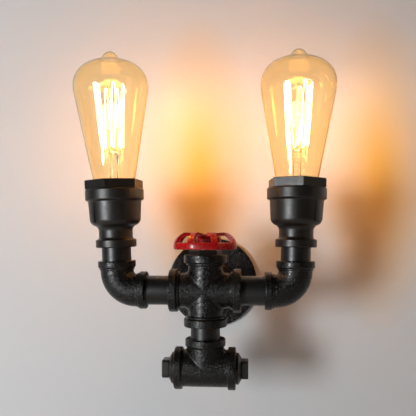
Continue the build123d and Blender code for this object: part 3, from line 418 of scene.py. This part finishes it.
# ---------------------------------------------------------------- filaments
FILAMENT_R = 0.00030
FILAMENT_LEGS = 14
CAGE_LOW = (0.0090, 0.0605)  # radius, and height above the lamp's contact
CAGE_HIGH = (0.0117, 0.1131)
BRIDGE = 0.2  # half of a bridge between legs, as a share of their spacing
LEG_SHARES = (0, 0.05, 0.5, 0.95, 1)  # control points along a leg
LEG_SWAY, SWAY_STEP, SWAY_START = 0.0005, 2.4, 1.1  # how far a leg bows in or out, and how that varies
LEG_DRIFT, DRIFT_STEP = 0.12, 1.7  # how far it bows along the cage, in leg spacings


def lamp_matrix(side):
    """From a lamp's own metres, up from its contact, to the frame's."""
    joint = next(j for j in frame["record"]["behaviour"]["joints"] if j["name"] == f"{side}_lamp_turn")
    up = Vector(joint["axis"]).normalized()
    across = Vector((up.z, 0, -up.x)).normalized()
    turn = Matrix((across, up.cross(across), up)).transposed().to_4x4()
    return Matrix.Translation(joint["pos_m"]) @ turn


def filament_point(leg, share):
    """A point of the cage, at a share of the way along one of its legs."""
    (start_r, start_h), (stop_r, stop_h) = (CAGE_LOW, CAGE_HIGH) if leg % 2 == 0 else (CAGE_HIGH, CAGE_LOW)
    bow = sin(pi * share)
    radius = start_r + share * (stop_r - start_r) + LEG_SWAY * sin(SWAY_STEP * leg + SWAY_START) * bow
    spacing = leg + BRIDGE + share * (1 - 2 * BRIDGE) + LEG_DRIFT * sin(DRIFT_STEP * leg) * bow
    at = 2 * pi * spacing / (FILAMENT_LEGS + 1) - pi / 2
    return Vector((radius * cos(at), radius * sin(at), start_h + share * (stop_h - start_h)))


def make_filament(side):
    """The carbon wire: one long curve up and down the cage, soft at each turn."""
    curve = bpy.data.curves.new(f"filament_wire_{side}", "CURVE")
    curve.dimensions = "3D"
    curve.bevel_depth = FILAMENT_R
    curve.bevel_resolution = 3
    curve.resolution_u = 5
    curve.use_fill_caps = True
    place = lamp_matrix(side)
    points = [place @ filament_point(leg, share) for leg in range(FILAMENT_LEGS) for share in LEG_SHARES]
    spline = curve.splines.new("NURBS")
    spline.points.add(len(points) - 1)
    for control, point in zip(spline.points, points):
        control.co = (*point, 1)
    spline.order_u = 3
    spline.use_endpoint_u = True
    add_piece(f"filament_wire_{side}", curve, f"{side}_lamp", "filament", f"bulb_filament_{side}")


# ---------------------------------------------------------------- stage and lights
WALL_COLOUR = (0.53, 0.535, 0.545)
WALL_PAINTED_AMBER_LIGHT = (0.60, 0.36, 0.09)  # painted light: the amber tint of the window's light through the lamps' glass, painted into the wall's colour
PAINTED_AMBER_LIGHT_PLACES = ((-0.014, 0.112), (0.168, 0.112))  # X and Z of the two painted amber light patches
PAINTED_AMBER_LIGHT_REACH = (0.062, 0.165)  # half their width and height
FLOOR_COLOUR = (0.74, 0.73, 0.72)
FLOOR_Z = -0.22
STAGE_SIZE = 6.0
WALL_GAP = 0.0006  # between the flange's back and the wall
BACKGROUND = (0.80, 0.78, 0.77)  # what the camera sees past the stage
WORLD_COLOUR = (0.95, 0.97, 1.0)
WORLD_STRENGTH = 0.045
LIGHT_AIM = (0, -0.09, 0.05)
LAMP_GLOW = (1.0, 0.33, 0.025)
LAMP_WATTS = 0.31
GLOW_RADIUS = 0.012


def plane(name, width, height, matrix, material):
    mesh = bpy.data.meshes.new(name)
    corners = [(x * width / 2, y * height / 2, 0) for x, y in ((-1, -1), (1, -1), (1, 1), (-1, 1))]
    mesh.from_pydata(corners, [], [range(4)])
    mesh.materials.append(material)
    piece = bpy.data.objects.new(name, mesh)
    piece.matrix_world = matrix
    bpy.context.scene.collection.objects.link(piece)


def painted_amber_light_mask(shader):
    """A tall soft mask of painted amber light on the wall for each lamp, from 0 outside it to 1 in its middle."""
    wide, high = PAINTED_AMBER_LIGHT_REACH
    position = shader.node("NewGeometry").outputs["Position"]
    total = None
    for x, z in PAINTED_AMBER_LIGHT_PLACES:
        mapping = shader.node("Mapping", Scale=(1 / wide, 1, 1 / high), Location=(-x / wide, 0, -z / high))
        patch = shader.node("TexGradient", gradient_type="SPHERICAL")
        shader.link(position, mapping.inputs["Vector"])
        shader.link(mapping.outputs["Vector"], patch.inputs["Vector"])
        if total is None:
            total = patch.outputs["Fac"]
        else:
            both = shader.node("Math", operation="ADD")
            shader.link(total, both.inputs[0])
            shader.link(patch.outputs["Fac"], both.inputs[1])
            total = both.outputs["Value"]
    return total


def make_stage():
    """A floor, and a wall that is clear from behind and lets all light through, with painted amber light in its
    colour.
    """
    floor = Shader("floor", Roughness=0.8, Base_Color=(*FLOOR_COLOUR, 1)).material
    plane("floor", STAGE_SIZE, STAGE_SIZE, Matrix.Translation((0, 0, FLOOR_Z)), floor)

    wall = Shader("wall", Roughness=0.85)
    # painted amber light: the wall's colour turns amber where the lamps' glass would tint the window's light
    wall.colour(wall.ramp(painted_amber_light_mask(wall), WALL_COLOUR, WALL_PAINTED_AMBER_LIGHT, 0.0, 0.9))
    back = wall.node("NewGeometry")
    path = wall.node("LightPath")
    open_side = wall.node("Math", operation="MAXIMUM")
    clear = wall.node("BsdfTransparent")
    mix = wall.node("MixShader")
    wall.link(back.outputs["Backfacing"], open_side.inputs[0])
    wall.link(path.outputs["Is Shadow Ray"], open_side.inputs[1])
    wall.link(open_side.outputs["Value"], mix.inputs["Fac"])
    wall.link(wall.principled.outputs["BSDF"], mix.inputs[1])
    wall.link(clear.outputs["BSDF"], mix.inputs[2])
    wall.link(mix.outputs["Shader"], wall.tree.nodes["Material Output"].inputs["Surface"])
    height = STAGE_SIZE / 2
    upright = Matrix.Translation((0, WALL_GAP, FLOOR_Z + height / 2)) @ Matrix.Rotation(pi / 2, 4, "X")
    plane("wall", STAGE_SIZE, height, upright, wall.material)


def make_world():
    """Weak light from all sides, and the background for the camera and behind glass."""
    world = bpy.data.worlds.new("studio")
    bpy.context.scene.world = world
    world.use_nodes = True
    tree = world.node_tree
    light = tree.nodes["Background"]
    light.inputs["Color"].default_value = (*WORLD_COLOUR, 1)
    light.inputs["Strength"].default_value = WORLD_STRENGTH
    seen = tree.nodes.new("ShaderNodeBackground")
    seen.inputs["Color"].default_value = (*BACKGROUND, 1)
    path = tree.nodes.new("ShaderNodeLightPath")
    mix = tree.nodes.new("ShaderNodeMixShader")
    seen_through = tree.nodes.new("ShaderNodeMath")
    seen_through.operation = "MAXIMUM"
    tree.links.new(path.outputs["Is Camera Ray"], seen_through.inputs[0])
    tree.links.new(path.outputs["Is Transmission Ray"], seen_through.inputs[1])
    tree.links.new(seen_through.outputs["Value"], mix.inputs["Fac"])
    tree.links.new(light.outputs["Background"], mix.inputs[1])
    tree.links.new(seen.outputs["Background"], mix.inputs[2])
    tree.links.new(mix.outputs["Shader"], tree.nodes["World Output"].inputs["Surface"])


def softbox(name, place, size, watts, colour):
    """A rectangular light that aims at the object."""
    data = bpy.data.lights.new(name, "AREA")
    data.shape = "RECTANGLE"
    data.size, data.size_y = size
    data.energy = watts
    data.color = colour
    lamp = bpy.data.objects.new(name, data)
    lamp.location = place
    lamp.rotation_euler = (Vector(LIGHT_AIM) - Vector(place)).to_track_quat("-Z", "Y").to_euler()
    bpy.context.scene.collection.objects.link(lamp)


def make_lights():
    """A soft window and weaker lights round the object, and the lamps' own glow, which the glass lets out."""
    softbox("window", (-0.68, -1.02, 0.02), (0.24, 0.38), 11.2, (0.95, 0.98, 1.0))
    softbox("fill", (1.5, -0.7, 0.4), (0.5, 0.8), 0.9, (1.0, 0.72, 0.42))
    softbox("side", (1.3, 0.45, 0.3), (0.6, 0.8), 3, (1.0, 0.85, 0.68))
    softbox("behind", (-0.6, 1.4, 0.9), (1.2, 1.2), 9, (1.0, 0.98, 0.96))
    for side in SIDES:
        low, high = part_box(f"bulb_filament_{side}")
        data = bpy.data.lights.new(f"glow_{side}", "POINT")
        data.energy = LAMP_WATTS
        data.color = LAMP_GLOW
        data.shadow_soft_size = GLOW_RADIUS
        glow = bpy.data.objects.new(f"glow_{side}", data)
        glow.location = (low + high) / 2
        bpy.context.scene.collection.objects.link(glow)
        for kind in ("bulb_glass", "bulb_stem"):
            frame["nodes"][f"{kind}_{side}"].visible_shadow = False


# ---------------------------------------------------------------- build
MATERIALS = {
    "black_iron": cast_iron(),
    "satin_iron": satin_iron(),
    "black_pipe": black_pipe(),
    "red_enamel": red_enamel(),
    "steel": metal("steel", (0.5, 0.49, 0.47), 0.25, 0.42),
    "brass": metal("brass", (0.72, 0.5, 0.22), 0.25, 0.45),
    "solder": metal("solder", (0.6, 0.6, 0.62), 0.3, 0.5),
    "support_wire": metal("support_wire", (0.62, 0.55, 0.45), 0.3, 0.5),
    "ceramic": ceramic(),
    "black_glass": plastic("black_glass", (0.02, 0.02, 0.022)),
    "wire": plastic("wire", (0.25, 0.12, 0.05)),
    "earth_wire": plastic("earth_wire", (0.2, 0.45, 0.08)),
    "splice_cap": plastic("splice_cap", (0.8, 0.78, 0.7)),
    "amber_glass": glass("amber_glass", (1.0, 0.77, 0.03), 440),
    "clear_glass": glass("clear_glass"),
    "filament": glowing_filament(),
}
for subpart in frame["record"]["subparts"]:
    mesh = frame["nodes"][subpart["node"]].data
    mesh.materials.clear()
    mesh.materials.append(MATERIALS[subpart["material_slot"]])

bpy.context.scene.view_settings.view_transform = "Standard"
make_camera()
make_handwheel()
make_wall_screws()
for side in SIDES:
    make_filament(side)
make_stage()
make_world()
make_lights()
